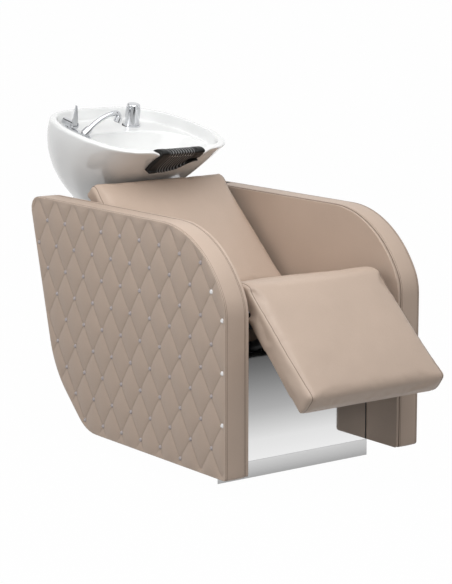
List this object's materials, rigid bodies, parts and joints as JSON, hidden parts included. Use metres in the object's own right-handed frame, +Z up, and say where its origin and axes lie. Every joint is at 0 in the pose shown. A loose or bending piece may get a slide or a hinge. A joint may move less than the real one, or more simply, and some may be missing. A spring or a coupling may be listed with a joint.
{
  "type": "hair washing bed",
  "caption": "Salon hair washing bed: upholstered seat and back between quilted side panels, tilting ceramic basin behind, powered leg rest in front.",
  "frame": {"origin": "on the floor, at the centre of the four floor bolts", "axes": "+Z up, +Y towards the basin, +X towards the seated client's left"},
  "size_m": [0.722, 1.492, 1.0149],
  "materials": {
    "leather": "soft matte grained upholstery leather",
    "board": "bare plywood",
    "crystal": "cut crystal",
    "painted_steel": "black powder coat",
    "nylon": "natural nylon",
    "mirror_steel": "mirror-polished stainless sheet",
    "brushed_steel": "brushed stainless sheet",
    "grey_sheet": "satin powder coat",
    "zinc": "zinc-plated steel",
    "black_plastic": "moulded, slightly textured",
    "grey_plastic": "moulded grey",
    "ceramic": "glossy white vitreous glaze",
    "rubber": "soft black moulded rubber",
    "chrome": "polished chrome"
  },
  "bodies": {
    "root": {"side_core_right": "board", "side_outer_pad_right": "leather", "side_inner_pad_right": "leather", "side_edge_band_right": "leather", "side_crystals_right": "crystal", "frame_side_right": "painted_steel", "side_core_left": "board", "side_outer_pad_left": "leather", "side_inner_pad_left": "leather", "side_edge_band_left": "leather", "side_crystals_left": "crystal", "frame_side_left": "painted_steel", "floor_rails": "painted_steel", "cross_rails": "painted_steel", "seat_rails": "painted_steel", "backrest_rails": "painted_steel", "basin_beam": "painted_steel", "actuator_bracket": "painted_steel", "seat_cushion": "leather", "backrest_cushion": "leather", "seat_board": "board", "backrest_board": "board", "hinge_bushes": "nylon", "tilt_bushes": "nylon", "front_panel": "mirror_steel", "kick_plinth": "brushed_steel", "rear_cover": "grey_sheet", "cover_screws": "zinc", "cable_gland": "black_plastic", "control_box": "black_plastic", "actuator_pin": "zinc", "actuator_housing": "grey_plastic", "actuator_motor": "grey_plastic", "switch_frame": "black_plastic"},
    "legrest": {"legrest_cushion": "leather", "legrest_board": "board", "legrest_frame": "painted_steel", "legrest_lever": "painted_steel", "legrest_shaft": "zinc"},
    "rod": {"actuator_rod": "zinc"},
    "basin": {"basin_shell": "ceramic", "neck_rest": "rubber", "basin_cradle": "painted_steel", "tilt_pins": "zinc", "waste_flange": "chrome", "waste_tail": "black_plastic", "mixer_body": "chrome", "handset_socket": "chrome", "breaker_body": "chrome", "breaker_cap": "chrome"},
    "strainer": {"hair_strainer": "chrome"},
    "hub": {"mixer_hub": "chrome"},
    "lever": {"mixer_lever": "chrome"},
    "ferrule": {"handset_ferrule": "chrome"},
    "handset": {"handset": "chrome", "spray_face": "rubber"},
    "rocker": {"switch_rocker": "black_plastic"}
  },
  "joints": [
    {"name": "legrest_hinge", "type": "hinge", "parent": "root", "child": "legrest", "pos_m": [0, -0.305, 0.512], "axis": [1, 0, 0], "range_deg": [-38, 46.6]},
    {"name": "rod_slide", "type": "slide", "parent": "root", "child": "rod", "axis": [0, 0.9063, -0.4226], "range_m": [-0.0365, 0.0447]},
    {"name": "basin_tilt", "type": "hinge", "parent": "root", "child": "basin", "pos_m": [0, 0.66786, 0.64607], "axis": [1, 0, 0], "range_deg": [-15, 0]},
    {"name": "strainer_lift", "type": "slide", "parent": "basin", "child": "strainer", "axis": [0, -0.1755, 0.9845], "range_m": [0, 0.12]},
    {"name": "mixer_turn", "type": "hinge", "parent": "basin", "child": "hub", "pos_m": [-0.142, 0.71767, 0.94952], "axis": [0, 0.9845, 0.1755], "range_deg": [-40, 40]},
    {"name": "mixer_lever_tilt", "type": "hinge", "parent": "hub", "child": "lever", "pos_m": [-0.142, 0.71767, 0.94952], "axis": [1, 0, 0], "range_deg": [0, 20]},
    {"name": "handset_pull", "type": "slide", "parent": "basin", "child": "ferrule", "axis": [0.766, -0.1128, 0.6328], "range_m": [0, 0.25]},
    {"name": "handset_swivel", "type": "hinge", "parent": "ferrule", "child": "handset", "pos_m": [-0.147, 0.64175, 0.93497], "axis": [0.766, -0.1128, 0.6328], "range_deg": [-30, 30]},
    {"name": "rocker_press", "type": "hinge", "parent": "root", "child": "rocker", "pos_m": [0.32, 0.545, 0.746], "axis": [1, 0, 0], "range_deg": [-8, 8], "stiffness_Nm_per_rad": 0.02}
  ],
  "couplings": [
    {"joint": "rod_slide", "follows": "legrest_hinge", "m_per_rad": 0.0546}
  ]
}
